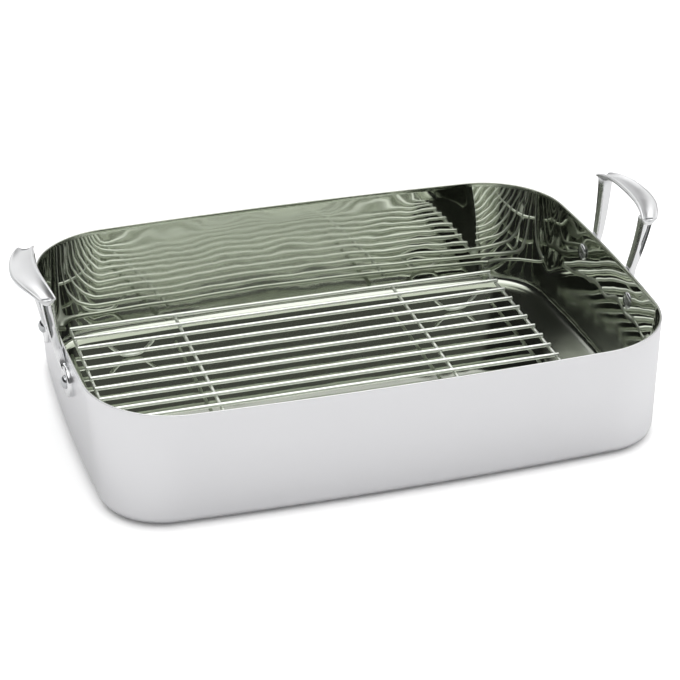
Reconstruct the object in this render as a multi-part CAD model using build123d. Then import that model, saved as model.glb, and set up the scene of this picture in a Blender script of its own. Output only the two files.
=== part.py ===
from build123d import *
from math import radians, tan
import os

# Roasting pan with a flat wire rack, in millimetres. The origin is the middle of the underside of the
# base, +X runs to one handle and +Z is up.

# Tray: sizes of the outside, taken at the rim, between the crossings of the side lines.
rim_length = 405.9
rim_width = 288.0
tray_height = 87.9
side_bow = 6.3
end_bow = 6.5
rim_corner_radius = 63.5
base_corner_radius = 45.0
side_draft = 3.3
end_draft = 3.0
wall = 1.5
base_turn_radius = 9.0
rim_round = 0.5

# Rivets: one through each handle foot.
rivet_spacing = 85.6
rivet_level = 66.8
rivet_shank_diameter = 6.0
rivet_outer_head_diameter = 9.8
rivet_outer_head_height = 3.2
rivet_inner_head_diameter = 13.4
rivet_inner_head_height = 2.4
rivet_hole_clearance = 0.05
head_round_share = 0.6

# Handle legs and feet.
foot_width = 25.0
foot_height = 23.0
foot_thickness = 2.8
foot_edge_round = 1.0
foot_inset = 1.7
leg_spacing_at_rim = 60.6
leg_spacing_at_top = 76.0
leg_spacing_at_foot = 84.0
leg_width = 8.8
leg_depth = 6.2
leg_corner_radius = 1.6
leg_lean = 4.8
leg_bow = 0.9
leg_rise = 46.2
leg_rim_gap = 0.2
leg_wall_embed = 3.2
leg_groove_width = 3.2
leg_groove_depth = 1.5
leg_groove_edge = 1.0

# Handle grip: a dished bar, bowed outwards and crowned, carried by the two legs.
grip_length = 85.0
grip_end_level = 43.8
grip_crown = 5.0
grip_inner_bow = 5.6
grip_outer_bow = 11.6
grip_end_width = 9.4
grip_end_dish = 3.6
grip_middle_dish = 1.4
grip_end_thickness = 2.6
grip_middle_thickness = 3.8
grip_outer_droop = 3.2

# Rack: long bars on cross wires, with four bent feet. Insets count from the bars' ends.
bar_count = 17
bar_pitch = 16.2
rack_end_gap = 30.95
bar_diameter = 3.0
bar_level_above_floor = 13.2
bar_end_round = 0.5
wire_diameter = 2.6
wire_end_overhang = 2.0
weld_sink = 0.3
cross_wire_inset = 83.1
rack_shift_x = -6.2
rack_shift_y = 0.4
rack_foot_inset = 41.4
rack_foot_bar = 3
rack_foot_top_width = 35.0
rack_foot_flat_width = 15.0
rack_foot_bend_radius = 3.0
rack_seat_clearance = 0.3

# Reach of a cutting or trimming shape beyond the face that it passes through.
overrun = 10.0

os.makedirs("parts", exist_ok=True)


def arc_edge(start, through, end):
    """Circular arc through three points."""
    return Edge.make_three_point_arc(Vector(start), Vector(through), Vector(end))


def line_edge(start, end):
    """Straight edge between two points."""
    return Edge.make_line(Vector(start), Vector(end))


def loft_solid(faces):
    """Solid through a row of faces."""
    return Solid.make_loft([face.outer_wire() for face in faces])


def write_node(name, shape):
    """Writes one piece as a STEP file named after it."""
    shape.label = name
    export_step(shape, os.path.join("parts", name + ".step"))


def end_wall_place(level):
    """Outside of an end wall on the tray's long centre line, at a height above the ground."""
    return rim_length / 2 + end_bow - (tray_height - level) * tan(radians(end_draft))


def tray_level(level, inset):
    """One level of the tray: four bowed sides with rounded corners."""
    drop = tray_height - level
    half_length = rim_length / 2 - drop * tan(radians(end_draft)) - inset
    half_width = rim_width / 2 - drop * tan(radians(side_draft)) - inset
    corner_radius = rim_corner_radius + (base_corner_radius - rim_corner_radius) * drop / tray_height - inset
    corners = [(half_length, half_width, level), (-half_length, half_width, level),
               (-half_length, -half_width, level), (half_length, -half_width, level)]
    crowns = [(0, half_width + side_bow, level), (-half_length - end_bow, 0, level),
              (0, -half_width - side_bow, level), (half_length + end_bow, 0, level)]
    edges = [arc_edge(corners[i], crowns[i], corners[(i + 1) % len(corners)]) for i in range(len(corners))]
    face = Face(Wire(edges))
    return face.fillet_2d(corner_radius, face.vertices())


def tray_block(inset, bottom, turn_radius):
    """Solid tray shape with a rounded turn from its bottom into its walls."""
    block = loft_solid([tray_level(bottom, inset), tray_level(tray_height, inset)])
    turn_edges = block.edges().group_by(Axis.Z)[0]
    return block.fillet(turn_radius, turn_edges)


def rivet_places():
    """Side and front-to-back place of the four rivets, by name."""
    return {"left_front": (-1, -rivet_spacing / 2), "left_back": (-1, rivet_spacing / 2),
            "right_front": (1, -rivet_spacing / 2), "right_back": (1, rivet_spacing / 2)}


def rivet_hole(side, place):
    """Drill through wall and foot at one rivet."""
    length = foot_thickness + wall + 2 * overrun
    drill = Cylinder(rivet_shank_diameter / 2 + rivet_hole_clearance, length, rotation=(0, 90, 0))
    return Pos(side * end_wall_place(rivet_level), place, rivet_level) * drill


def make_tray(outside):
    """Drawn tray: even wall, flat base, rounded rim edge and four rivet holes."""
    inside = tray_block(wall, wall, base_turn_radius - wall)
    tray = outside - inside
    rim_edges = tray.edges().group_by(Axis.Z)[-1]
    tray = tray.fillet(rim_round, rim_edges)
    for side, place in rivet_places().values():
        tray = tray - rivet_hole(side, place)
    return tray


def leg_spread(level):
    """Distance of a leg's middle from the handle's middle, at a height."""
    at_rim = leg_spacing_at_rim / 2
    if level >= tray_height:
        return at_rim + (leg_spacing_at_top / 2 - at_rim) * (level - tray_height) / leg_rise
    share = (tray_height - level) / (tray_height - rivet_level)
    return at_rim + (leg_spacing_at_foot / 2 - at_rim) * share ** 2


def leg_inner_face(level):
    """Place of a leg's face towards the tray, at a height."""
    rim_place = end_wall_place(tray_height) + leg_rim_gap
    if level >= tray_height:
        rise_share = (level - tray_height) / leg_rise
        return rim_place + leg_lean * rise_share + leg_bow * 4 * rise_share * (1 - rise_share)
    return rim_place - leg_wall_embed * (tray_height - level) / (tray_height - rivet_level)


def leg_middle(level, width_share):
    """Place of a leg section's middle, whose outer side stays in line whatever its width."""
    return leg_spread(level) + leg_width * (1 - width_share) / 2


def leg_section(level, depth_share, width_share, way):
    """Rounded rectangle across a leg, at a height; a wider one grows towards the handle's middle."""
    depth = leg_depth * depth_share
    width = leg_width * width_share
    middle = leg_inner_face(level) + depth / 2
    place = way * leg_middle(level, width_share)
    section = Plane((middle, place, level)) * RectangleRounded(depth, width, leg_corner_radius)
    return section.face()


def groove_section(level, depth_share, width_share, groove_share, way):
    """Section of the groove in a leg's outward side, near its outer edge, at a height."""
    width = leg_groove_width * groove_share
    outer_face = leg_inner_face(level) + leg_depth * depth_share
    side = leg_middle(level, width_share) + leg_width * width_share / 2
    place = (outer_face - leg_groove_edge - width / 2, way * side, level)
    return (Plane(place) * Rectangle(width, 2 * leg_groove_depth)).face()


def make_leg(way):
    """One leg, flared into the grip above and into its foot below, grooved on its outward side."""
    level_shares = (1.0, 0.93, 0.86, 0.75, 0.57, 0.38, 0.19, 0.04)
    depth_shares = (1.52, 1.48, 1.43, 1.35, 1.22, 1.12, 1.04, 1.0)
    width_shares = (1.2, 1.14, 1.08, 1.04, 1.0, 0.97, 0.94, 0.92)
    levels = [tray_height + leg_rise * level_share for level_share in level_shares]
    outlines = list(zip(levels, depth_shares, width_shares))
    below = tray_height - rivet_level
    drop_shares = (0.1, 0.3, 0.55, 0.8, 1.04)
    foot_depth_shares = (1.0, 0.97, 0.85, 0.7, 0.64)
    foot_width_shares = (0.92, 0.93, 1.0, 1.12, 1.2)
    foot_levels = [tray_height - below * drop_share for drop_share in drop_shares]
    foot_outlines = list(zip(foot_levels, foot_depth_shares, foot_width_shares))
    leg = loft_solid([leg_section(*outline, way) for outline in outlines + foot_outlines])
    groove_shares = (1.0, 1.0, 0.9, 0.7, 0.4)
    grooved = outlines[2:2 + len(groove_shares)]
    cuts = [groove_section(*outline, share, way) for outline, share in zip(grooved, groove_shares)]
    return leg - loft_solid(cuts)


def grip_line(share):
    """Inner, lowest and outer points of the grip's top at a share of its half length."""
    bow = 1 - share ** 2
    crown = 1 - share ** 4
    inner_end = leg_inner_face(tray_height + leg_rise)
    inner = inner_end + grip_inner_bow * bow
    outer = inner_end + grip_end_width + grip_outer_bow * bow
    level = tray_height + grip_end_level + grip_crown * crown
    outer_level = level - grip_outer_droop * bow
    dish = grip_end_dish + (grip_middle_dish - grip_end_dish) * bow
    lowest = (inner + outer) / 2
    lowest_level = (level + outer_level) / 2 - dish
    return (inner, level), (lowest, lowest_level), (outer, outer_level)


def grip_thickness(share):
    """Thickness of the grip at a share of its half length."""
    return grip_end_thickness + (grip_middle_thickness - grip_end_thickness) * (1 - share ** 2)


def grip_face(share):
    """Cross-section of the grip: a dished strip with round edges."""
    place = grip_length / 2 * share
    inner, lowest, outer = grip_line(share)
    thickness = grip_thickness(share)
    half = thickness / 2

    def point(across, level):
        return (across, place, level)

    under_inner = point(inner[0], inner[1] - thickness)
    under_lowest = point(lowest[0], lowest[1] - thickness)
    under_outer = point(outer[0], outer[1] - thickness)
    top = arc_edge(point(*inner), point(*lowest), point(*outer))
    outer_cap = arc_edge(point(*outer), point(outer[0] + half, outer[1] - half), under_outer)
    bottom = arc_edge(under_outer, under_lowest, under_inner)
    inner_cap = arc_edge(under_inner, point(inner[0] - half, inner[1] - half), point(*inner))
    return Face(Wire([top, outer_cap, bottom, inner_cap]))


def above_grip_face(share):
    """Section of the space above the middle of the grip's thickness, which trims the legs."""
    place = grip_length / 2 * share
    sink = grip_thickness(1) / 2
    inner, lowest, outer = [(across, place, level - sink) for across, level in grip_line(share)]
    roof = tray_height + leg_rise + overrun
    near = inner[0] - overrun
    far = outer[0] + overrun
    far_side = [outer, (far, place, outer[2]), (far, place, roof)]
    near_side = [(near, place, roof), (near, place, inner[2]), inner]
    around = far_side + near_side
    edges = [line_edge(start, end) for start, end in zip(around[:-1], around[1:])]
    return Face(Wire([arc_edge(inner, lowest, outer)] + edges))


def make_foot(place):
    """Oval foot of a leg, flat outside, to be trimmed to the wall inside."""
    face_place = end_wall_place(rivet_level) + foot_thickness
    plane = Plane(origin=(face_place, place, rivet_level), x_dir=(0, 1, 0), z_dir=(1, 0, 0))
    foot = extrude(plane * Ellipse(foot_width / 2, foot_height / 2), -foot_thickness - leg_wall_embed)
    front_edges = foot.edges().group_by(Axis.X)[-1]
    return foot.fillet(foot_edge_round, front_edges)


def make_handle(tray_outside):
    """Cast handle at the +X end: two feet, two legs and the grip in one piece."""
    station_shares = (-1.0, -0.82, -0.55, -0.28, 0.0, 0.28, 0.55, 0.82, 1.0)
    grip = loft_solid([grip_face(share) for share in station_shares])
    trim_share = 1.2
    trim_shares = (-trim_share,) + station_shares[1:-1] + (trim_share,)
    above = loft_solid([above_grip_face(share) for share in trim_shares])
    handle = grip
    for way in (-1, 1):
        leg = make_leg(way)
        handle = handle + (leg - above) + make_foot(way * (rivet_spacing / 2 - foot_inset))
    handle = handle - tray_outside
    for way in (-1, 1):
        handle = handle - rivet_hole(1, way * rivet_spacing / 2)
    return handle


def make_rivet(side, place, tray, handle):
    """Rivet with a domed head outside and a wider flat head inside, set against wall and foot."""
    outer_seat = end_wall_place(rivet_level) + foot_thickness
    inner_seat = end_wall_place(rivet_level) - wall - (end_bow * (place / (rim_width / 2)) ** 2)
    length = outer_seat - inner_seat + wall / 2
    shank = Cylinder(rivet_shank_diameter / 2, length, rotation=(0, 90, 0))
    shank = Pos(outer_seat - length / 2, 0, 0) * shank
    outer_head = Cylinder(rivet_outer_head_diameter / 2, rivet_outer_head_height, rotation=(0, 90, 0))
    outer_head = Pos(outer_seat + rivet_outer_head_height / 2, 0, 0) * outer_head
    outer_round = rivet_outer_head_height * head_round_share
    outer_head = outer_head.fillet(outer_round, outer_head.edges().group_by(Axis.X)[-1])
    inner_length = rivet_inner_head_height + wall / 2
    inner_head = Cylinder(rivet_inner_head_diameter / 2, inner_length, rotation=(0, 90, 0))
    inner_head = Pos(inner_seat - rivet_inner_head_height + inner_length / 2, 0, 0) * inner_head
    inner_round = rivet_inner_head_height * head_round_share
    inner_head = inner_head.fillet(inner_round, inner_head.edges().group_by(Axis.X)[0])
    rivet = Pos(0, place, rivet_level) * (shank + outer_head + inner_head)
    if side < 0:
        rivet = mirror(rivet, about=Plane.YZ)
    return rivet - tray - handle


def rack_level():
    """Height of the bars' middles above the ground."""
    return wall + bar_level_above_floor


def bar_length():
    """Length of a bar: the tray's at the rim, less the gap at both ends."""
    return rim_length - 2 * rack_end_gap


def wire_level():
    """Height of the cross wires' middles above the ground."""
    return rack_level() - bar_diameter / 2 - wire_diameter / 2 + weld_sink


def bar_place(index):
    """Front-to-back place of a bar, counted from the back."""
    return rack_shift_y + bar_pitch * ((bar_count - 1) / 2 - index)


def make_wire(place):
    """Straight wire across the rack, under the bars."""
    length = bar_pitch * (bar_count - 1) + 2 * wire_end_overhang
    wire = Cylinder(wire_diameter / 2, length, rotation=(90, 0, 0))
    return Pos(rack_shift_x + place, rack_shift_y, wire_level()) * wire


def make_bar(index, wires):
    """Straight bar with rounded ends, seated on the wires below it."""
    bar = Cylinder(bar_diameter / 2, bar_length(), rotation=(0, 90, 0))
    end_edges = bar.edges().group_by(Axis.X)[0] + bar.edges().group_by(Axis.X)[-1]
    bar = bar.fillet(bar_end_round, end_edges)
    bar = Pos(rack_shift_x, bar_place(index), rack_level()) * bar
    for wire in wires:
        bar = bar - wire
    return bar


def make_rack_foot(place, index, bar):
    """Wire foot bent to a flat-bottomed V, welded under one bar."""
    flat_level = wall + rack_seat_clearance + wire_diameter / 2
    top_level = rack_level() - bar_diameter / 4
    middle = rack_shift_x + place
    row = bar_place(index)
    top_reach = rack_foot_top_width / 2
    flat_reach = rack_foot_flat_width / 2
    points = [(middle - top_reach, row, top_level), (middle - flat_reach, row, flat_level),
              (middle + flat_reach, row, flat_level), (middle + top_reach, row, top_level)]
    path = FilletPolyline(*points, radius=rack_foot_bend_radius)
    section = Plane(origin=path @ 0, z_dir=path % 0) * Circle(wire_diameter / 2)
    foot = sweep(section, path=path)
    return foot - bar


tray_outside = tray_block(0, 0, base_turn_radius)
tray = make_tray(tray_outside)
write_node("tray", tray)

right_handle = make_handle(tray_outside)
left_handle = mirror(right_handle, about=Plane.YZ)
write_node("right_handle", right_handle)
write_node("left_handle", left_handle)

for name, (side, place) in rivet_places().items():
    carried = right_handle if side > 0 else left_handle
    write_node("rivet_" + name, make_rivet(side, place, tray, carried))

end_wire_place = bar_length() / 2 - wire_diameter / 2
cross_wire_place = bar_length() / 2 - cross_wire_inset
rack_wires = {"rack_end_wire_left": make_wire(-end_wire_place),
              "rack_cross_wire_left": make_wire(-cross_wire_place),
              "rack_cross_wire_right": make_wire(cross_wire_place),
              "rack_end_wire_right": make_wire(end_wire_place)}
for name, wire in rack_wires.items():
    write_node(name, wire)

bars = [make_bar(index, rack_wires.values()) for index in range(bar_count)]
for index, bar in enumerate(bars):
    write_node(f"rack_bar_{index + 1:02d}", bar)

rack_foot_place = bar_length() / 2 - rack_foot_inset
foot_bars = {"back": rack_foot_bar - 1, "front": bar_count - rack_foot_bar}
for row_name, index in foot_bars.items():
    for side_name, side in (("left", -1), ("right", 1)):
        foot = make_rack_foot(side * rack_foot_place, index, bars[index])
        write_node("rack_foot_" + row_name + "_" + side_name, foot)
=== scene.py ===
import math

import bmesh
import bpy
import numpy as np
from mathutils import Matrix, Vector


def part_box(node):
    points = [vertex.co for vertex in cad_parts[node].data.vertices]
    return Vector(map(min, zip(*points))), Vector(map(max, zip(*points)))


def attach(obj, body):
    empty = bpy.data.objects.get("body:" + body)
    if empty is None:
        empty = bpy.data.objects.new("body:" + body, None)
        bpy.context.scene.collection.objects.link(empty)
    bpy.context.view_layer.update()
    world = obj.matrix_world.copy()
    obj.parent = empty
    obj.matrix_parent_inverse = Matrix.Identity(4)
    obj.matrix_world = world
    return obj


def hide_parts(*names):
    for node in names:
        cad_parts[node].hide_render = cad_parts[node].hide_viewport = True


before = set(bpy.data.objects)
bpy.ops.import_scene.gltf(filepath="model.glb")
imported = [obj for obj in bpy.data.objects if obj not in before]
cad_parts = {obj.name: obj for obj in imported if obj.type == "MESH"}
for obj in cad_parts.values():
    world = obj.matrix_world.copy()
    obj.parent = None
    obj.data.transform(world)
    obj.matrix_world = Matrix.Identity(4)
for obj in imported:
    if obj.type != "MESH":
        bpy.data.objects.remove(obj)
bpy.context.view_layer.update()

# Tray. One sheet of stainless steel, pressed into a deep pan with bowed walls and rounded corners, its cut
# edge rounded off. It is satin ground outside and mirror polished inside, where the slight waves that the
# press leaves in the sheet bend every reflection.
tray_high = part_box("tray")[1]
tray_height = tray_high.z
side_bow = 0.0063
end_bow = 0.0065
half_length = tray_high.x - end_bow
half_width = tray_high.y - side_bow
rim_corner_radius = 0.0635
base_corner_radius = 0.045
side_draft = math.tan(math.radians(3.3))
end_draft = math.tan(math.radians(3.0))
sheet_thickness = 0.0015
outer_turn_radius = 0.009
rim_round = 0.0005
wave_seed = 7
wave_count = 14
sheet_wave_height = 0.00016
shortest_wave = 0.028
longest_wave = 0.16
wave_height_power = 1.25
upright_wave_share = 0.8
wave_fade = 0.012
outside_wave_share = 0.12
floor_wave_share = 0.5
floor_edge_share = 0.08
side_points = 44
corner_points = 22
end_points = 28
turn_rows = 12
edge_rows = 5
inner_wall_rows = 30
outer_wall_rows = 14
floor_rows = 42
base_rows = 6
floor_hub = 0.02
base_edge = 0.95
base_hub = 0.1


def tray_rings(level, inset):
    """Plan of the tray at each level: four bowed sides, each a circular arc through two corners and its
    crown, and corner arcs that touch both neighbours from inside. Returns the rings and their normals."""
    level = np.asarray(level, float)[:, None]
    inset = np.asarray(inset, float)[:, None]
    drop = tray_height - level
    corner_x = half_length - drop * end_draft - inset
    corner_y = half_width - drop * side_draft - inset
    round_radius = rim_corner_radius + (base_corner_radius - rim_corner_radius) * drop / tray_height - inset
    side_radius = (corner_x ** 2 + side_bow ** 2) / (2 * side_bow)
    end_radius = (corner_y ** 2 + end_bow ** 2) / (2 * end_bow)
    side_centre = corner_y + side_bow - side_radius
    end_centre = corner_x + end_bow - end_radius
    apart = np.hypot(end_centre, side_centre)
    side_reach = side_radius - round_radius
    end_reach = end_radius - round_radius
    along = (side_reach ** 2 - end_reach ** 2 + apart ** 2) / (2 * apart)
    aside = np.sqrt(side_reach ** 2 - along ** 2)
    round_x = (along * end_centre - aside * side_centre) / apart
    round_y = side_centre - (along * side_centre + aside * end_centre) / apart
    side_turn = np.arctan2(round_y - side_centre, round_x)
    end_turn = np.arctan2(round_y, round_x - end_centre)
    side_angle = math.pi / 2 + (side_turn - math.pi / 2) * np.linspace(0, 1, side_points, endpoint=False)
    round_angle = side_turn + (end_turn - side_turn) * np.linspace(0, 1, corner_points, endpoint=False)
    end_angle = end_turn * np.linspace(1, 0, end_points + 1)
    x = np.hstack([side_radius * np.cos(side_angle),
                   round_x + round_radius * np.cos(round_angle),
                   end_centre + end_radius * np.cos(end_angle)])
    y = np.hstack([side_centre + side_radius * np.sin(side_angle),
                   round_y + round_radius * np.sin(round_angle),
                   end_radius * np.sin(end_angle)])
    angle = np.hstack([side_angle, round_angle, end_angle])

    def all_round(across, deep):
        back_right = np.stack([across, deep], -1)[:, :-1]
        front_right = np.stack([across, -deep], -1)[:, :0:-1]
        return np.concatenate([back_right, front_right, -back_right, -front_right], 1)

    return all_round(x, y), all_round(np.cos(angle), np.sin(angle))


def sheet_waves(points):
    """Slight waves of pressed sheet: a sum of sine waves in fixed seeded directions, long ones higher."""
    chance = np.random.default_rng(wave_seed)
    length = np.geomspace(shortest_wave, longest_wave, wave_count)
    direction = chance.normal(size=(wave_count, 3)) * (1.0, 1.0, upright_wave_share)
    direction /= np.linalg.norm(direction, axis=1, keepdims=True)
    phase = chance.uniform(0, 2 * math.pi, wave_count)
    share = (length / longest_wave) ** wave_height_power
    turns = points @ (direction / length[:, None]).T
    return (np.sin(2 * math.pi * turns + phase) * share).sum(-1) * sheet_wave_height


def turn_profile(bottom, radius):
    """Levels and insets of the round turn between floor and wall, from the floor up: a circular arc that
    touches the flat and the drafted wall."""
    draft = math.atan((side_draft + end_draft) / 2)
    angle = np.linspace(math.pi / 2, draft, turn_rows)
    level = bottom + radius * (1 - np.sin(angle))
    inset = (level - level[-1]) * math.tan(draft) + radius * (math.cos(draft) - np.cos(angle))
    return level, inset


def skin_through(name, rings, start, end):
    """Closed mesh through rings of points: quads between neighbouring rings and a fan onto a pole at each
    end. Rings run along the first axis and the points of a ring along the second."""
    rows, around = rings.shape[:2]
    points = np.vstack([rings.reshape(-1, 3), start, end])
    row, column = np.meshgrid(np.arange(rows - 1), np.arange(around), indexing="ij")
    following = (column + 1) % around
    quads = np.stack([row * around + column, row * around + following,
                      (row + 1) * around + following, (row + 1) * around + column], -1).reshape(-1, 4)
    ring = np.arange(around)
    first_fan = np.stack([ring, np.full(around, rows * around), (ring + 1) % around], -1)
    last = (rows - 1) * around
    last_fan = np.stack([last + (ring + 1) % around, np.full(around, rows * around + 1), last + ring], -1)
    mesh = bpy.data.meshes.new(name)
    mesh.from_pydata(points.tolist(), [], quads.tolist() + first_fan.tolist() + last_fan.tolist())
    turned = bmesh.new()
    turned.from_mesh(mesh)
    bmesh.ops.recalc_face_normals(turned, faces=turned.faces)
    turned.to_mesh(mesh)
    turned.free()
    mesh.shade_smooth()
    piece = bpy.data.objects.new(name, mesh)
    bpy.context.collection.objects.link(piece)
    return piece


def make_tray():
    """Runs one profile round the tray: floor, inner turn, inner wall, rim, outer wall, outer turn, base."""
    inner_level, inner_inset = turn_profile(sheet_thickness, outer_turn_radius - sheet_thickness)
    outer_level, outer_inset = turn_profile(0, outer_turn_radius)
    rise = np.linspace(0, 1, inner_wall_rows)[1:-1]
    fall = np.linspace(0, 1, outer_wall_rows)[1:-1]
    wall_top = tray_height - rim_round
    inner_wall = inner_level[-1] + (wall_top - inner_level[-1]) * rise
    outer_wall = wall_top + (outer_level[-1] - wall_top) * fall
    bend = np.linspace(0, math.pi / 2, edge_rows)
    inner_edge = sheet_thickness - rim_round + rim_round * np.cos(bend)
    edge_level = wall_top + rim_round * np.sin(bend)
    outer_edge = rim_round - rim_round * np.cos(bend[::-1])
    level = np.concatenate([inner_level, inner_wall, edge_level,
                            edge_level[::-1], outer_wall, outer_level[::-1]])
    inset = np.concatenate([sheet_thickness + inner_inset, np.full(inner_wall.size, sheet_thickness),
                            inner_edge, outer_edge, np.zeros(outer_wall.size), outer_inset[::-1]])
    plan, outward = tray_rings(level, inset)
    rings = np.dstack([plan, np.broadcast_to(level[:, None], plan.shape[:2])])
    inside_rows = inner_level.size + inner_wall.size + bend.size
    fade = np.clip((tray_height - level) / wave_fade, 0, 1) * np.clip(level / wave_fade, 0, 1)
    fade[inside_rows:] *= outside_wave_share
    rings[..., :2] += outward * (sheet_waves(rings) * fade[:, None])[..., None]
    floor_share = np.linspace(floor_hub, 1, floor_rows)[:-1]
    floor = rings[0] * floor_share[:, None, None]
    floor[..., 2] = sheet_thickness
    flat_fade = np.clip((1 - floor_share) / floor_edge_share, 0, 1)[:, None]
    floor[..., 2] += (sheet_waves(floor) - sheet_wave_height) * flat_fade * floor_wave_share
    base = rings[-1] * np.linspace(base_edge, base_hub, base_rows)[:, None, None]
    base[..., 2] = 0
    tray = skin_through("tray_skin", np.concatenate([floor, rings, base]), floor[0].mean(0), (0, 0, 0))
    around = rings.shape[1]
    inside = np.zeros(len(tray.data.vertices), np.float32)
    inside[:(floor.shape[0] + inside_rows) * around] = 1
    inside[-2] = 1
    tray.data.attributes.new("polished", "FLOAT", "POINT").data.foreach_set("value", inside)
    return tray


def metal(name, colour):
    """Bare metal surface, with its nodes, links and shader."""
    material = bpy.data.materials.new(name)
    material.use_nodes = True
    shader = material.node_tree.nodes["Principled BSDF"]
    shader.inputs["Metallic"].default_value = 1
    shader.inputs["Base Color"].default_value = (*colour, 1)
    return material, material.node_tree.nodes, material.node_tree.links, shader


def relief(nodes, links, depth, height):
    """Bump of a height pattern, its depth in metres."""
    bump = nodes.new("ShaderNodeBump")
    bump.inputs["Distance"].default_value = depth
    links.new(height, bump.inputs["Height"])
    return bump.outputs["Normal"]


def own_place(nodes, links, axis):
    """Place along one axis of the object's own coordinates."""
    place = nodes.new("ShaderNodeTexCoord")
    split = nodes.new("ShaderNodeSeparateXYZ")
    links.new(place.outputs["Object"], split.inputs[0])
    return split.outputs[axis]


def grain(nodes, links, scale, detail=2):
    """Noise on the object's own coordinates, its cells 1/scale metres wide."""
    place = nodes.new("ShaderNodeTexCoord")
    noise = nodes.new("ShaderNodeTexNoise")
    noise.inputs["Scale"].default_value = scale
    noise.inputs["Detail"].default_value = detail
    links.new(place.outputs["Object"], noise.inputs["Vector"])
    return noise.outputs["Fac"]


def carried_over(nodes, links, value, start, end, low, high, kind="LINEAR"):
    """Takes a value's stretch from start to end over to the stretch from low to high, held at both ends."""
    between = nodes.new("ShaderNodeMapRange")
    between.interpolation_type = kind
    for socket, number in zip(("From Min", "From Max", "To Min", "To Max"), (start, end, low, high)):
        between.inputs[socket].default_value = number
    links.new(value, between.inputs["Value"])
    return between.outputs["Result"]


def spread(nodes, links, value, low, high):
    """Stretches noise, most of which lies between 0.3 and 0.7, over a range."""
    return carried_over(nodes, links, value, 0.3, 0.7, low, high)


def between_finishes(nodes, links, kind, share, first, second):
    """Mixes a value or colour of one finish with that of another: the first where the share is 0."""
    mix = nodes.new("ShaderNodeMix")
    mix.data_type = kind
    sockets = [socket for socket in mix.inputs if socket.enabled]
    links.new(share, sockets[0])
    for socket, source in zip(sockets[1:], (first, second)):
        if isinstance(source, bpy.types.NodeSocket):
            links.new(source, socket)
        else:
            socket.default_value = source
    return next(socket for socket in mix.outputs if socket.enabled)


ground_colour = (0.80, 0.80, 0.814)
# Colour of the polished inside: partly the steel's own colour, partly painted shade, darker and greener than
# the outside of the same sheet to stand in for its dark reflections.
polished_colour_and_painted_shade = (0.545, 0.57, 0.505)
ground_roughness = (0.29, 0.34)
sharp_roughness = (0.02, 0.05)
soft_roughness = (0.07, 0.03)
dent_depth = 0.00012
soft_start = -0.15
soft_full = -0.10
soft_end = 0.02
sharp_again = 0.11
scuffed_start = 0.158
scuffed_full = 0.176
scuffed_roughness = 0.2
floor_level = 0.002
above_floor = 0.005


def tray_steel():
    """Satin ground steel outside and mirror polished steel inside, told apart by the mesh's own attribute;
    the inside is coloured darker and greener, partly the steel's own colour and partly painted shade for its
    dark reflections.
    The polish is softer over a stretch left of the middle, where the wall was buffed less, and scuffed on the
    floor right of the rack."""
    material, nodes, links, shader = metal("ground_and_polished_steel", ground_colour)
    polished = nodes.new("ShaderNodeAttribute")
    polished.attribute_name = "polished"
    share = polished.outputs["Fac"]
    colour = between_finishes(nodes, links, "RGBA", share, (*ground_colour, 1), (*polished_colour_and_painted_shade, 1))
    links.new(colour, shader.inputs["Base Color"])
    ground = spread(nodes, links, grain(nodes, links, scale=30), *ground_roughness)
    sharp = spread(nodes, links, grain(nodes, links, scale=35), *sharp_roughness)
    along = own_place(nodes, links, "X")
    soft = carried_over(nodes, links, along, soft_end, sharp_again, *soft_roughness, "SMOOTHSTEP")
    buffed_less = carried_over(nodes, links, along, soft_start, soft_full, 0, 1, "SMOOTHSTEP")
    mirror = between_finishes(nodes, links, "FLOAT", buffed_less, sharp, soft)
    beside_rack = carried_over(nodes, links, along, scuffed_start, scuffed_full, 0, 1, "SMOOTHSTEP")
    height = own_place(nodes, links, "Z")
    on_floor = carried_over(nodes, links, height, floor_level, above_floor, 1, 0, "SMOOTHSTEP")
    scuffed = nodes.new("ShaderNodeMath")
    scuffed.operation = "MULTIPLY"
    links.new(beside_rack, scuffed.inputs[0])
    links.new(on_floor, scuffed.inputs[1])
    mirror = between_finishes(nodes, links, "FLOAT", scuffed.outputs[0], mirror, scuffed_roughness)
    roughness = between_finishes(nodes, links, "FLOAT", share, ground, mirror)
    links.new(roughness, shader.inputs["Roughness"])
    uneven = grain(nodes, links, scale=45, detail=1)
    dents = between_finishes(nodes, links, "FLOAT", share, 0.5, uneven)
    links.new(relief(nodes, links, dent_depth, dents), shader.inputs["Normal"])
    return material


tray = make_tray()
tray.data.materials.append(tray_steel())
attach(tray, "pan")
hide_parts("tray")

# Handles. One stainless casting at each end of the tray: a dished, crescent-shaped grip carried by two legs,
# each grooved down its outward side and flattened below the rim into an oval foot that lies on the wall.
grip_half_length = 0.0425
grip_end_level = tray_height + 0.0438
grip_crown = 0.005
grip_inner_bow = 0.0056
grip_outer_bow = 0.0116
grip_end_width = 0.0094
grip_end_dish = 0.0036
grip_middle_dish = 0.0014
grip_end_thickness = 0.0026
grip_middle_thickness = 0.0038
grip_outer_droop = 0.0032
grip_rows = 61
grip_columns = 17
grip_finish_start = grip_end_level - 0.006
grip_finish_full = grip_end_level - 0.003
leg_rim_gap = 0.0002
leg_lean = 0.0048
leg_bow = 0.0009
leg_rise = 0.0462
leg_depth = 0.0062
leg_width = 0.0088
leg_depth_growth = 0.52
leg_foot_flattening = 0.36
leg_waist_share = 0.92
leg_taper = 0.1
leg_flare = 0.18
leg_foot_flare = 0.26
leg_squareness = 0.4
leg_into_grip = 0.004
leg_below_rivet = 0.001
leg_rows_above = 34
leg_rows_below = 18
leg_points = 96
leg_spread_at_rim = 0.0303
leg_spread_at_top = 0.038
leg_spread_at_foot = 0.042
leg_wall_embed = 0.0032
leg_groove_width = 0.0032
leg_groove_depth = 0.0014
leg_groove_edge = 0.001
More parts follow.
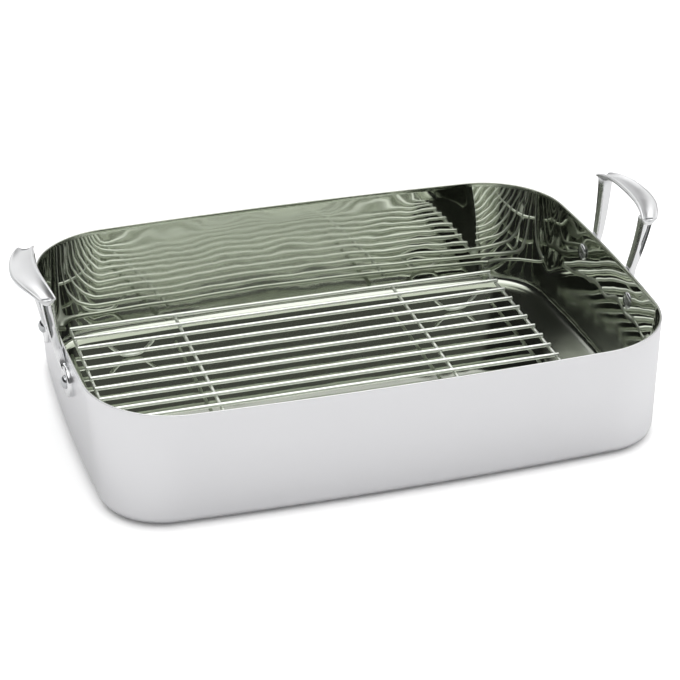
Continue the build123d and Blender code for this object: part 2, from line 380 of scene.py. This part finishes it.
leg_groove_start = 0.12
leg_groove_end = 0.92
leg_groove_runout = 0.35
leg_groove_least_half = 0.0001
leg_groove_top = 0.9
leg_groove_top_fade = 0.06
foot_inset = 0.0017
foot_half_width = 0.0125
foot_half_height = 0.0115
foot_thickness = 0.0028
foot_round = 0.001
foot_face_shrink = (0.004, 0.008)
foot_points = 64
behind_wall_depth = 0.0004
casting_voxel = 0.00045
casting_softness = 9
cast_colour = (0.80, 0.805, 0.81)
# Painted shade: a dark colour laid into the leg grooves, with the reach of its mask, in place of the shade
# the grooves hold.
groove_painted_shade_colour = (0.24, 0.245, 0.25)
groove_shade_start = 0.0003
groove_shade_reach = 0.0025
groove_shade_inner_share = 0.2
groove_shade_outer_gap = 0.0007
leg_roughness = (0.12, 0.2)
grip_roughness = (0.36, 0.44)
casting_relief = 0.00001
rivet_level = sum(corner.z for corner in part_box("rivet_right_back")) / 2
rivet_place = sum(corner.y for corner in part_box("rivet_right_back")) / 2
rim_place = half_length + end_bow


def wall_place(place, level):
    """Outside of the end wall: the rim's crown, less the bow to either side and the draft below the rim."""
    return rim_place - end_bow * (place / half_width) ** 2 - (tray_height - level) * end_draft


def grip_rings():
    """Rings across the grip, from end to end: a strip dished on top and round at both edges, its inner and
    outer edge bowed outwards as parabolas and its top crowned."""
    share = np.linspace(-1, 1, grip_rows)[:, None]
    bow = 1 - share ** 2
    inner_end = rim_place + leg_rim_gap + leg_lean
    inner = inner_end + grip_inner_bow * bow
    outer = inner_end + grip_end_width + grip_outer_bow * bow
    inner_level = grip_end_level + grip_crown * (1 - share ** 4)
    outer_level = inner_level - grip_outer_droop * bow
    dish = grip_end_dish + (grip_middle_dish - grip_end_dish) * bow
    half_thickness = (grip_end_thickness + (grip_middle_thickness - grip_end_thickness) * bow) / 2
    across = np.linspace(0, 1, grip_columns)
    cap = np.linspace(math.pi / 2, -math.pi / 2, 9)[1:-1]
    step = np.concatenate([across, np.ones(cap.size), across[::-1], np.zeros(cap.size)])
    side = np.concatenate([np.ones(across.size), np.sin(cap), -np.ones(across.size), -np.sin(cap)])
    out = np.concatenate([np.zeros(across.size), np.cos(cap), np.zeros(across.size), -np.cos(cap)])
    x = inner + (outer - inner) * step + half_thickness * out
    z = inner_level + (outer_level - inner_level) * step - dish * 4 * step * (1 - step)
    z = z - half_thickness + half_thickness * side
    y = np.broadcast_to(share * grip_half_length, x.shape)
    return np.stack([x, y, z], -1)


def leg_rings(way):
    """Rings down one leg, from inside the grip to its foot: a rounded rectangle whose depth and width swell
    into the grip above and flatten into the foot below. Its outward side stays in line and has a groove sunk
    into it, a rounded trough near the outer edge that runs out above the rim."""
    top = tray_height + leg_rise - leg_into_grip
    foot = rivet_level - leg_below_rivet
    level = np.concatenate([np.linspace(top, tray_height, leg_rows_above),
                            np.linspace(tray_height, foot, leg_rows_below)[1:]])
    above = np.clip((level - tray_height) / leg_rise, 0, 1)
    below = np.clip((tray_height - level) / (tray_height - rivet_level), 0, 1)
    depth = leg_depth * (1 + leg_depth_growth * above - leg_foot_flattening * below ** 1.6)
    flare = leg_flare * above ** 4 + leg_foot_flare * below ** 2
    width = leg_width * (leg_waist_share + leg_taper * above + flare)
    middle = leg_spread_at_rim + (leg_spread_at_top - leg_spread_at_rim) * above
    middle = middle + (leg_spread_at_foot - leg_spread_at_rim) * below ** 2 + (leg_width - width) / 2
    inner_face = rim_place + leg_rim_gap + leg_lean * above + leg_bow * 4 * above * (1 - above)
    inner_face = inner_face - leg_wall_embed * below
    angle = np.linspace(0, 2 * math.pi, leg_points, endpoint=False)
    deep = np.sign(np.cos(angle)) * np.abs(np.cos(angle)) ** leg_squareness
    wide = np.sign(np.sin(angle)) * np.abs(np.sin(angle)) ** leg_squareness
    outward = (depth / 2)[:, None] * (1 + deep)
    groove_share = np.clip((above - leg_groove_start) / leg_groove_runout, 0, 1)
    groove_half = np.maximum(leg_groove_width * groove_share / 2, leg_groove_least_half)
    groove_middle = depth - leg_groove_edge - groove_half
    off_middle = np.abs(outward - groove_middle[:, None]) / groove_half[:, None]
    sunk = np.clip(1 - off_middle ** 2, 0, 1) ** 0.5 * (wide > 0.5) * np.minimum(1, groove_share * 2)[:, None]
    sunk = sunk * np.clip((leg_groove_top - above) / leg_groove_top_fade, 0, 1)[:, None]
    x = inner_face[:, None] + outward
    y = way * (middle[:, None] + (width / 2)[:, None] * wide - leg_groove_depth * sunk)
    z = np.broadcast_to(level[:, None], x.shape)
    in_wall = wall_place(y, z) - behind_wall_depth
    return np.stack([np.where((z < tray_height) & (x < in_wall), in_wall, x), y, z], -1)


def foot_rings(way):
    """Rings of one oval foot: from the wall out to its face, with a round edge, as an ellipse."""
    middle = way * (rivet_place - foot_inset)
    bend = np.linspace(0, math.pi / 2, 6)
    face = wall_place(0, rivet_level) + foot_thickness
    out = np.concatenate([[0, 0.5], 1 - (foot_round / foot_thickness) * (1 - np.sin(bend)), [1, 1]])
    shrink = np.concatenate([[0, 0], foot_round * (1 - np.cos(bend)), foot_face_shrink])
    angle = np.linspace(0, 2 * math.pi, foot_points, endpoint=False)
    y = middle + (foot_half_width - shrink)[:, None] * np.cos(angle)
    z = rivet_level + (foot_half_height - shrink)[:, None] * np.sin(angle)
    in_wall = wall_place(y, z) - behind_wall_depth
    return np.stack([in_wall + (face - in_wall) * out[:, None], y, z], -1)


def joined(name, pieces):
    """One object out of several, so that a casting is one skin."""
    whole = bmesh.new()
    for piece in pieces:
        whole.from_mesh(piece.data)
        bpy.data.objects.remove(piece)
    mesh = bpy.data.meshes.new(name)
    whole.to_mesh(mesh)
    whole.free()
    mesh.shade_smooth()
    together = bpy.data.objects.new(name, mesh)
    bpy.context.collection.objects.link(together)
    return together


def with_modifiers(piece):
    """Applies a piece's modifiers to its mesh."""
    seen = piece.evaluated_get(bpy.context.evaluated_depsgraph_get())
    mesh = bpy.data.meshes.new_from_object(seen)
    piece.modifiers.clear()
    piece.data = mesh
    mesh.name = piece.name
    mesh.shade_smooth()
    return piece


def painted_groove_shade(handle):
    """Marks where shade is painted into the grooves: 1 where a point of a leg lies sunk below the line of
    its outward side, 0 elsewhere."""
    points = np.empty(len(handle.data.vertices) * 3)
    handle.data.vertices.foreach_get("co", points)
    x, y, z = np.abs(points.reshape(-1, 3)).T
    above = (z - tray_height) / leg_rise
    side = leg_spread_at_rim + (leg_spread_at_top - leg_spread_at_rim) * above + leg_width / 2
    outward = x - rim_place - leg_rim_gap - leg_lean * above - leg_bow * 4 * above * (1 - above)
    depth = leg_depth * (1 + leg_depth_growth * above)
    inside = (above > leg_groove_start) & (above < leg_groove_end)
    inside &= (outward > depth * groove_shade_inner_share) & (outward < depth - groove_shade_outer_gap)
    deep = np.clip((side - y - groove_shade_start) / groove_shade_start, 0, 1)
    sunk = deep * inside * (side - y < groove_shade_reach)
    mark = handle.data.attributes.new("painted_groove_shade", "FLOAT", "POINT")
    mark.data.foreach_set("value", sunk.astype(np.float32))


def make_handle(name, side):
    """Casting of one handle: grip, legs and feet run into each other with soft fillets."""
    shells = [skin_through("grip", grip_rings(), grip_rings()[0].mean(0), grip_rings()[-1].mean(0))]
    for way in (-1, 1):
        for rings in (leg_rings(way), foot_rings(way)):
            shells.append(skin_through("limb", rings, rings[0].mean(0), rings[-1].mean(0)))
    handle = joined(name, shells)
    blend = handle.modifiers.new("one skin", "REMESH")
    blend.mode = "VOXEL"
    blend.voxel_size = casting_voxel
    soften = handle.modifiers.new("cast softness", "SMOOTH")
    soften.factor = 0.5
    soften.iterations = casting_softness
    handle = with_modifiers(handle)
    painted_groove_shade(handle)
    if side < 0:
        handle.data.transform(((-1, 0, 0, 0), (0, 1, 0, 0), (0, 0, 1, 0), (0, 0, 0, 1)))
        handle.data.flip_normals()
    return handle


def handle_steel():
    """Cast steel, polished on the legs and feet and satin ground on the grip, told apart by height, with dark
    painted shade in the grooves, told apart by the mesh's own attribute."""
    material, nodes, links, shader = metal("polished_cast_steel", cast_colour)
    height = own_place(nodes, links, "Z")
    on_grip = carried_over(nodes, links, height, grip_finish_start, grip_finish_full, 0, 1)
    polished = spread(nodes, links, grain(nodes, links, scale=160), *leg_roughness)
    ground = spread(nodes, links, grain(nodes, links, scale=160), *grip_roughness)
    roughness = between_finishes(nodes, links, "FLOAT", on_grip, polished, ground)
    # Painted shade in the grooves: the mesh attribute mixes in the dark colour there.
    skin = nodes.new("ShaderNodeAttribute")
    skin.attribute_name = "painted_groove_shade"
    share = skin.outputs["Fac"]
    colour = between_finishes(nodes, links, "RGBA", share, (*cast_colour, 1), (*groove_painted_shade_colour, 1))
    links.new(colour, shader.inputs["Base Color"])
    links.new(roughness, shader.inputs["Roughness"])
    surface = relief(nodes, links, casting_relief, grain(nodes, links, scale=260))
    links.new(surface, shader.inputs["Normal"])
    return material


cast_steel = handle_steel()
for name, side in (("right_handle", 1), ("left_handle", -1)):
    handle = make_handle(name + "_casting", side)
    handle.data.materials.append(cast_steel)
    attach(handle, "pan")
    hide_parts(name)

# Rivets. Solid stainless rivets, one through each foot and the wall behind it: a domed head outside on the
# foot and a wider, flatter one inside the tray, both pressed to shape and polished.
shank_radius = 0.003
outer_head_radius = 0.0049
inner_head_radius = 0.0067
inner_head_height = 0.0024
neck_overlap = 0.0002
dome_start = 0.12
dome_rows = 10
rivet_points = 40
rivet_colour = (0.52, 0.53, 0.54)
rivet_roughness = (0.12, 0.24)
tool_mark_relief = 0.00004


def make_rivet(name, node):
    """Turns the rivet's outline about its axis: outer dome, neck, and inner dome. A dome's height falls as a
    quarter ellipse from its middle to its edge."""
    low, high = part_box(node)
    side = 1 if low.x > 0 else -1
    middle_y = (low.y + high.y) / 2
    outer_end = max(abs(low.x), abs(high.x))
    inner_end = min(abs(low.x), abs(high.x))
    outer_seat = wall_place(0, rivet_level) + foot_thickness
    inner_seat = inner_end + inner_head_height
    fall = np.linspace(dome_start, math.pi / 2, dome_rows)
    outer_reach = outer_seat + (outer_end - outer_seat) * np.cos(fall)
    inner_reach = inner_seat - inner_head_height * np.cos(fall[::-1])
    outer_neck = outer_seat - neck_overlap
    inner_neck = inner_seat + neck_overlap
    reach = np.concatenate([outer_reach, [outer_neck, outer_neck, inner_neck, inner_neck], inner_reach])
    radius = np.concatenate([outer_head_radius * np.sin(fall),
                             [outer_head_radius, shank_radius, shank_radius, inner_head_radius],
                             inner_head_radius * np.sin(fall[::-1])])
    angle = np.linspace(0, 2 * math.pi, rivet_points, endpoint=False)
    rings = np.stack([np.broadcast_to(side * reach[:, None], (reach.size, angle.size)),
                      middle_y + radius[:, None] * np.cos(angle),
                      rivet_level + radius[:, None] * np.sin(angle)], -1)
    outer_pole = (side * outer_end, middle_y, rivet_level)
    return skin_through(name, rings, outer_pole, (side * inner_end, middle_y, rivet_level))


def rivet_steel():
    """Pressed and polished head with faint tool marks."""
    material, nodes, links, shader = metal("pressed_rivet_steel", rivet_colour)
    roughness = spread(nodes, links, grain(nodes, links, scale=420), *rivet_roughness)
    links.new(roughness, shader.inputs["Roughness"])
    surface = relief(nodes, links, tool_mark_relief, grain(nodes, links, scale=500))
    links.new(surface, shader.inputs["Normal"])
    return material


pressed_steel = rivet_steel()
for node in ("rivet_left_front", "rivet_left_back", "rivet_right_front", "rivet_right_back"):
    rivet = make_rivet(node + "_turned", node)
    rivet.data.materials.append(pressed_steel)
    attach(rivet, "pan")
    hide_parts(node)

# Rack bars and wires. Drawn steel wire, cut to length with softened ends, resistance welded where the long
# bars cross the four wires under them, then plated. Each wire lies a little out of true.
wire_points = 24
wire_rows = 34
cut_round_share = 0.35
bar_waviness = 0.00012
short_sway = 0.055
long_sway = 0.13
end_bend = np.linspace(math.pi / 2, 0, 5)[:-1]
plating_colour = (0.93, 0.96, 0.90)
plating_roughness = (0.34, 0.44)
pit_relief = 0.00003


def wire_rings(line, radius, round_share):
    """Rings of a round wire along a line of points: each ring stands square to the line, and the ends close
    in as quarter ellipses of a share of the radius."""
    forward = np.gradient(line, axis=0)
    forward /= np.linalg.norm(forward, axis=1, keepdims=True)
    closing = 1 - round_share + round_share * np.cos(end_bend)
    size = np.concatenate([closing, np.ones(len(line) - 2 * end_bend.size), closing[::-1]])
    sideways = np.cross(forward, (0.0, 0.0, 1.0))
    sideways /= np.linalg.norm(sideways, axis=1, keepdims=True)
    upwards = np.cross(sideways, forward)
    angle = np.linspace(0, 2 * math.pi, wire_points, endpoint=False)[None, :, None]
    reach = (radius * size)[:, None, None]
    return line[:, None] + reach * (np.cos(angle) * sideways[:, None] + np.sin(angle) * upwards[:, None])


def end_softened(length, radius, round_share, steps):
    """Distances along a wire: close together where its ends round off, even between."""
    start = radius * round_share * (1 - np.sin(end_bend))
    return np.concatenate([start, np.linspace(radius * round_share, length - radius * round_share, steps),
                           length - start[::-1]])


def straight_wire(name, node, along):
    """Wire or bar along one axis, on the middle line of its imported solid, swaying a little to either side
    with phases seeded by its place."""
    low, high = np.array(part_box(node))
    middle = (low + high) / 2
    radius = (high[2] - low[2]) / 2
    radius = max(radius, (high[1 - along] - low[1 - along]) / 2)
    distance = end_softened(high[along] - low[along], radius, cut_round_share, wire_rows)
    line = np.tile(middle, (distance.size, 1))
    line[:, along] = low[along] + distance
    line[:, 2] = high[2] - radius
    chance = np.random.default_rng(abs(int(middle[0] * 1e5) * 31 + int(middle[1] * 1e5)))
    phase = chance.uniform(0, 2 * math.pi, 2)
    bow = np.sin(line[:, along] / short_sway + phase[0]) * np.cos(line[:, along] / long_sway + phase[1])
    line[:, 1 - along] += bar_waviness * bow
    rings = wire_rings(line, radius, cut_round_share)
    return skin_through(name, rings, line[0], line[-1])


def plated_wire():
    """Pale plating over drawn wire, with small pits and a slightly uneven, satin gloss."""
    material, nodes, links, shader = metal("bright_plated_wire", plating_colour)
    roughness = spread(nodes, links, grain(nodes, links, scale=120), *plating_roughness)
    links.new(roughness, shader.inputs["Roughness"])
    links.new(relief(nodes, links, pit_relief, grain(nodes, links, scale=350)), shader.inputs["Normal"])
    return material


plating = plated_wire()
rack_nodes = [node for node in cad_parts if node.startswith("rack_")]
bar_nodes = sorted(node for node in rack_nodes if node.startswith("rack_bar"))
wire_nodes = sorted(node for node in rack_nodes if "_wire_" in node)
for node in bar_nodes + wire_nodes:
    wire = straight_wire(node + "_drawn", node, 0 if node in bar_nodes else 1)
    wire.data.materials.append(plating)
    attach(wire, "rack")
    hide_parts(node)

# Rack feet. Four short lengths of the same wire, bent to a flat-bottomed V and welded by their tips under the
# third bar from each side, so that the rack stands clear of the fat in the tray.
foot_flat_half = 0.0075
foot_bend = 0.003
foot_tip_round_share = 0.3
foot_rows = 65


def rack_foot(name, node):
    """Bent foot: its middle line is flat in the middle and rises on both sides, with the corner softened by a
    hyperbola."""
    low, high = np.array(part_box(node))
    radius = (high[1] - low[1]) / 2
    reach = (high[0] - low[0]) / 2 - radius * (1 - foot_tip_round_share)
    flat_level = low[2] + radius
    top_level = high[2] - radius * foot_tip_round_share
    x = np.linspace(-reach, reach, foot_rows)
    past = np.abs(x) - foot_flat_half
    climb = (past + np.sqrt(past ** 2 + foot_bend ** 2)) / 2
    middle = (low + high) / 2
    line = np.stack([middle[0] + x, np.full(x.size, middle[1]),
                     flat_level + (top_level - flat_level) * (climb - climb.min()) / np.ptp(climb)], -1)
    rings = wire_rings(line, radius, foot_tip_round_share)
    return skin_through(name, rings, line[0], line[-1])


for node in sorted(node for node in rack_nodes if "_foot_" in node):
    foot = rack_foot(node + "_bent", node)
    foot.data.materials.append(plating)
    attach(foot, "rack")
    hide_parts(node)

# Weld beads. Where a bar was pressed onto a wire and welded, a little metal squeezes out on both sides of the
# crossing and is plated over with the rest.
bead_half_width = 0.0018
bead_half_height = 0.0005
bead_steepest = 1.1
bead_points = 10
bead_rows = 5


def weld_beads():
    """One small flattened ball at every crossing of a bar and a wire."""
    bars = np.array([np.mean(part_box(node), axis=0) for node in bar_nodes])
    wires = np.array([np.mean(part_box(node), axis=0) for node in wire_nodes])
    bar_low = np.min([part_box(node)[0] for node in bar_nodes], axis=0)
    places = [(x, y, bar_low[2] + bead_half_height) for x in wires[:, 0] for y in bars[:, 1]]
    angle = np.linspace(0, 2 * math.pi, bead_points, endpoint=False)
    tilt = np.linspace(-bead_steepest, bead_steepest, bead_rows)[:, None]
    ball = np.stack([bead_half_width * np.cos(tilt) * np.cos(angle),
                     bead_half_width * np.cos(tilt) * np.sin(angle),
                     bead_half_height * np.sin(tilt) * np.ones(angle.size)], -1)
    pole = np.array((0, 0, bead_half_height))
    balls = [skin_through("bead", ball + place, place - pole, place + pole) for place in np.array(places)]
    return joined("rack_weld_beads", balls)


beads = weld_beads()
beads.data.materials.append(plating)
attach(beads, "rack")

# Studio. A wide white paper floor under a large soft overhead light, with a weaker light behind, a faint one
# in front and a white horizon round a dim room. The camera stands in front of the pan, a little to its left,
# and looks down on it.
paper_radius = 4.0
paper_hub = 0.2
paper_rings = 12
paper_points = 64
overhead_light = {"middle": (0.14, 0.08, 0.987), "edge": (0.68, 0.77), "levels": (0.03, 1.8)}
back_light = {"middle": (-0.05, 0.86, 0.51), "edge": (0.83, 0.93), "levels": (0, 0.85)}
front_light = {"middle": (0.3, -0.79, 0.53), "edge": (0.74, 0.9), "levels": (0, 0.16)}
horizon_edge = (0.14, 0.24)
paper_lift = 0.4
reflected_lift = 0.08
painted_shadow_reach = 0.008
camera_focal_pixels = 2150.4
picture_pixels = 680
camera_place = (-0.4103, -1.3219, 0.7865)
camera_turn = math.radians(-17.19)
camera_tilt = math.radians(28.20)
camera_roll = math.radians(0.13)


def paper_floor():
    """Round sheet of paper, a flat disc of rings."""
    radius = np.geomspace(paper_hub, paper_radius, paper_rings)
    angle = np.linspace(0, 2 * math.pi, paper_points, endpoint=False)
    rings = radius[:, None, None] * np.stack([np.cos(angle), np.sin(angle), 0 * angle], -1)
    row, column = np.meshgrid(np.arange(radius.size - 1), np.arange(angle.size), indexing="ij")
    following = (column + 1) % angle.size
    quads = np.stack([row * angle.size + column, (row + 1) * angle.size + column,
                      (row + 1) * angle.size + following, row * angle.size + following], -1).reshape(-1, 4)
    mesh = bpy.data.meshes.new("paper")
    mesh.from_pydata(rings.reshape(-1, 3).tolist(), [], quads.tolist() + [list(range(angle.size))])
    floor = bpy.data.objects.new("paper", mesh)
    bpy.context.collection.objects.link(floor)
    return floor


def seen_directly(nodes, links):
    """1 for camera, glossy and transmission rays, which see the white background, and 0 for light."""
    path = nodes.new("ShaderNodeLightPath")
    first = nodes.new("ShaderNodeMath")
    first.operation = "MAXIMUM"
    second = nodes.new("ShaderNodeMath")
    second.operation = "MAXIMUM"
    links.new(path.outputs["Is Camera Ray"], first.inputs[0])
    links.new(path.outputs["Is Glossy Ray"], first.inputs[1])
    links.new(first.outputs[0], second.inputs[0])
    links.new(path.outputs["Is Transmission Ray"], second.inputs[1])
    return path, second.outputs[0]


def white_paper():
    """Matt white paper, lifted to the white of the background where it is seen, less so in reflections, and
    not at all close under the pan's edge, which paints a dark contact shadow there."""
    material = bpy.data.materials.new("white_paper")
    material.use_nodes = True
    nodes, links = material.node_tree.nodes, material.node_tree.links
    shader = nodes["Principled BSDF"]
    shader.inputs["Base Color"].default_value = (0.9, 0.9, 0.9, 1)
    shader.inputs["Roughness"].default_value = 0.9
    shader.inputs["Specular IOR Level"].default_value = 0.1
    shader.inputs["Emission Color"].default_value = (1, 1, 1, 1)
    path, seen = seen_directly(nodes, links)
    lift = nodes.new("ShaderNodeMath")
    lift.operation = "MULTIPLY_ADD"
    lift.inputs[1].default_value = paper_lift
    share = nodes.new("ShaderNodeMath")
    share.operation = "MULTIPLY"
    share.inputs[1].default_value = reflected_lift
    links.new(seen, share.inputs[0])
    links.new(path.outputs["Is Camera Ray"], lift.inputs[0])
    links.new(share.outputs[0], lift.inputs[2])
    # Painted contact shadow: the lift fades to nothing where ambient occlusion finds the pan close by.
    painted_shadow_occlusion = nodes.new("ShaderNodeAmbientOcclusion")
    painted_shadow_occlusion.inputs["Distance"].default_value = painted_shadow_reach
    painted_shadow_occlusion.samples = 8
    lift_with_painted_shadow = nodes.new("ShaderNodeMath")
    lift_with_painted_shadow.operation = "MULTIPLY"
    links.new(lift.outputs[0], lift_with_painted_shadow.inputs[0])
    links.new(painted_shadow_occlusion.outputs["AO"], lift_with_painted_shadow.inputs[1])
    links.new(lift_with_painted_shadow.outputs[0], shader.inputs["Emission Strength"])
    return material


def studio_room():
    """World: white for the camera; for light and reflections a soft overhead light, a weaker one behind, a
    faint one in front, a white horizon and a dim room between them, told apart by the direction's height and
    its angle from the middle of each light."""
    world = bpy.data.worlds.new("studio")
    world.use_nodes = True
    nodes, links = world.node_tree.nodes, world.node_tree.links
    background = nodes["Background"]
    direction = nodes.new("ShaderNodeTexCoord").outputs["Generated"]
    height = nodes.new("ShaderNodeSeparateXYZ")
    links.new(direction, height.inputs[0])
    room = carried_over(nodes, links, height.outputs["Z"], *horizon_edge, 1, 0, "SMOOTHSTEP")
    for light in (overhead_light, back_light, front_light):
        toward = nodes.new("ShaderNodeVectorMath")
        toward.operation = "DOT_PRODUCT"
        toward.inputs[1].default_value = light["middle"]
        links.new(direction, toward.inputs[0])
        brighter = nodes.new("ShaderNodeMath")
        brighter.operation = "MAXIMUM"
        links.new(room, brighter.inputs[0])
        near = toward.outputs["Value"]
        glow = carried_over(nodes, links, near, *light["edge"], *light["levels"], "SMOOTHSTEP")
        links.new(glow, brighter.inputs[1])
        room = brighter.outputs[0]
    path = nodes.new("ShaderNodeLightPath")
    strength = nodes.new("ShaderNodeMix")
    strength.data_type = "FLOAT"
    links.new(path.outputs["Is Camera Ray"], strength.inputs[0])
    links.new(room, strength.inputs[2])
    strength.inputs[3].default_value = 1.0
    background.inputs["Color"].default_value = (1, 1, 1, 1)
    links.new(strength.outputs[0], background.inputs["Strength"])
    return world


def photo_camera():
    """Camera at the picture's place: turned about the vertical, tilted down and rolled a little."""
    back = np.array([math.sin(camera_turn) * math.cos(camera_tilt),
                     -math.cos(camera_turn) * math.cos(camera_tilt),
                     math.sin(camera_tilt)])
    level_right = np.array([math.cos(camera_turn), math.sin(camera_turn), 0])
    level_up = np.cross(back, level_right)
    right = level_right * math.cos(camera_roll) + level_up * math.sin(camera_roll)
    up = level_up * math.cos(camera_roll) - level_right * math.sin(camera_roll)
    camera = bpy.data.objects.new("camera", bpy.data.cameras.new("camera"))
    bpy.context.collection.objects.link(camera)
    camera.data.sensor_width = 36.0
    camera.data.lens = camera_focal_pixels / picture_pixels * camera.data.sensor_width
    turned = np.eye(4)
    turned[:3, :3] = np.stack([right, up, back], -1)
    turned[:3, 3] = camera_place
    camera.matrix_world = turned.T.tolist()
    return camera


paper = paper_floor()
paper.data.materials.append(white_paper())
bpy.context.scene.world = studio_room()
bpy.context.scene.camera = photo_camera()
bpy.context.scene.view_settings.view_transform = "Standard"
